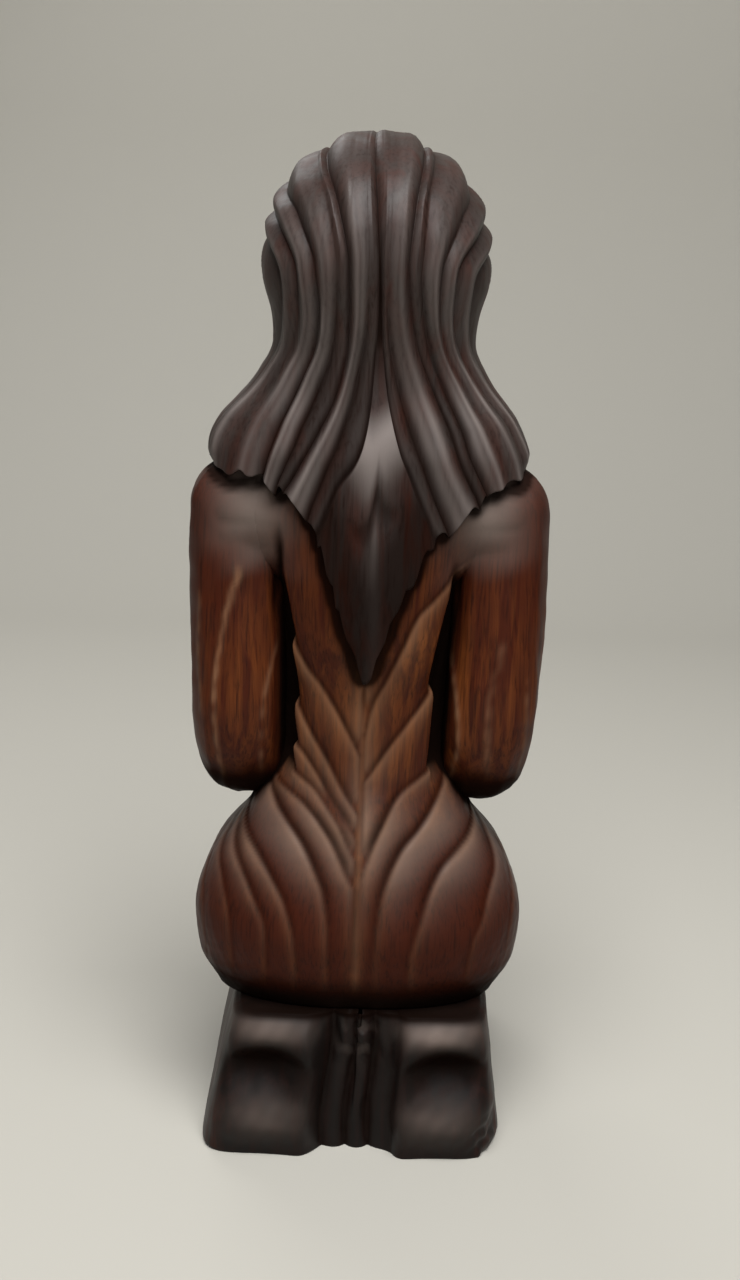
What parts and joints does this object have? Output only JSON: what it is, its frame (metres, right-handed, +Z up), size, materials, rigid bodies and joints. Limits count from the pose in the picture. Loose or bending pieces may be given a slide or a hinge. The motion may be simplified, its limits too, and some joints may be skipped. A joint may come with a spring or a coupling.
{
  "type": "carved kneeling figure",
  "caption": "Carved and stained wooden figure of a kneeling woman with long hair in carved locks, seated on the heels of a dark block of feet, to stand on a shelf or table.",
  "frame": {"origin": "on the surface that the figure stands on, under the middle of its feet block", "axes": "+Z up along the figure's height, +Y the way the figure faces, +X to its right-hand side"},
  "size_m": [0.1596, 0.175, 0.4506],
  "materials": {
    "ebonised_base_wood": "near-black stain under semi-gloss varnish",
    "stained_body_wood": "dark red-brown stain under semi-gloss varnish",
    "stained_arm_wood": "dark red-brown stain under semi-gloss varnish",
    "stained_face_wood": "dark red-brown stain under semi-gloss varnish",
    "stained_hair_wood": "grey-brown black stain under semi-gloss varnish",
    "dowel_beech": "bare turned wood, hidden in the joints"
  },
  "bodies": {
    "root": {"feet_base": "ebonised_base_wood", "body": "stained_body_wood", "left_arm": "stained_arm_wood", "right_arm": "stained_arm_wood", "head": "stained_face_wood", "hair": "stained_hair_wood", "left_seat_dowel": "dowel_beech", "right_seat_dowel": "dowel_beech", "left_shoulder_dowel": "dowel_beech", "right_shoulder_dowel": "dowel_beech", "neck_dowel": "dowel_beech", "hair_dowel": "dowel_beech"}
  },
  "joints": []
}
